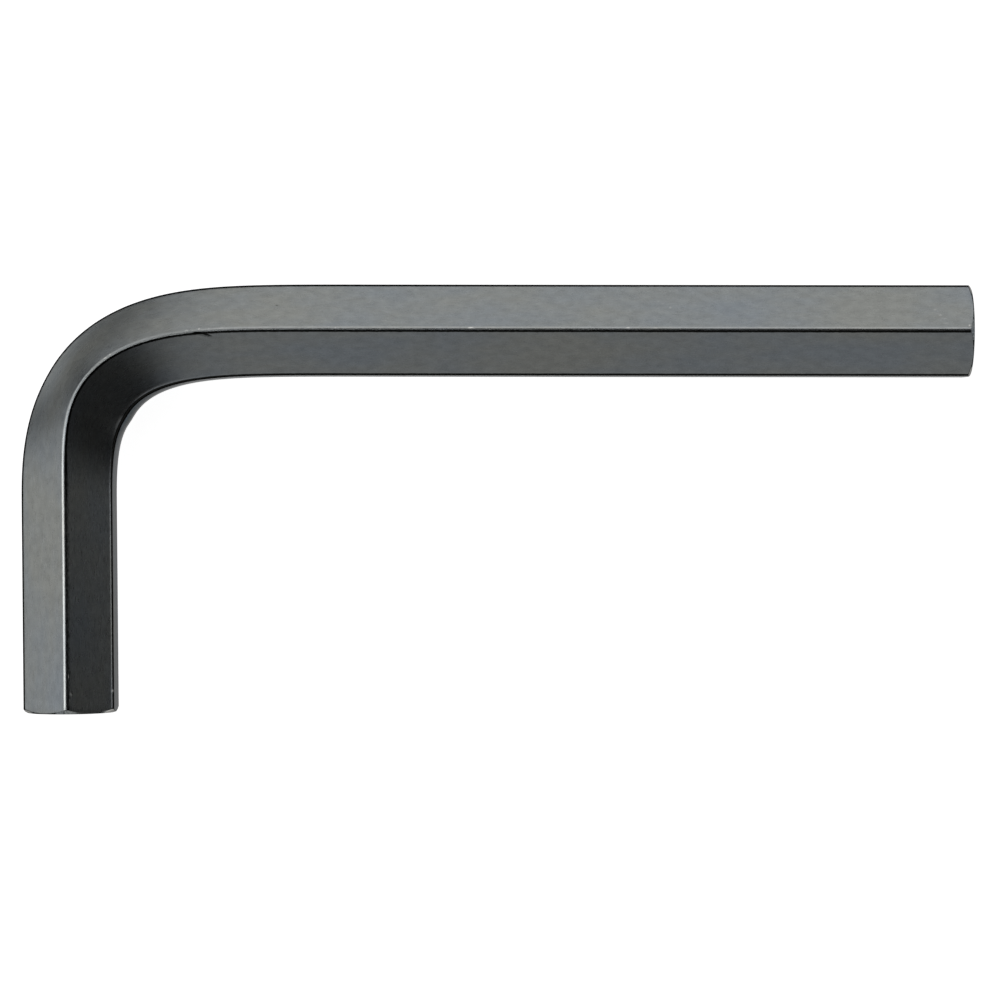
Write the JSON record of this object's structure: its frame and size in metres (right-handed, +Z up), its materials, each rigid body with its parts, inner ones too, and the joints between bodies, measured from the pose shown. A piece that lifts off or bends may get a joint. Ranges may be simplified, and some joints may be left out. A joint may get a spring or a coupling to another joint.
{
  "type": "hex key",
  "caption": "L-shaped hexagon key: one hexagonal steel bar bent at a right angle, its corners rounded and both tips chamfered, for turning socket-head screws.",
  "frame": {"origin": "centre of the bounding box, on the surface that the key lies on", "axes": "+X along the long arm towards its tip, -Y the way the short arm points, +Z up from the surface that it lies on"},
  "size_m": [0.177, 0.08, 0.0192],
  "materials": {
    "blackened_steel": "drawn alloy steel, hardened and black oxide finished, satin, with faint lengthwise drawing lines"
  },
  "bodies": {
    "root": {"hex_key": "blackened_steel"}
  },
  "joints": []
}
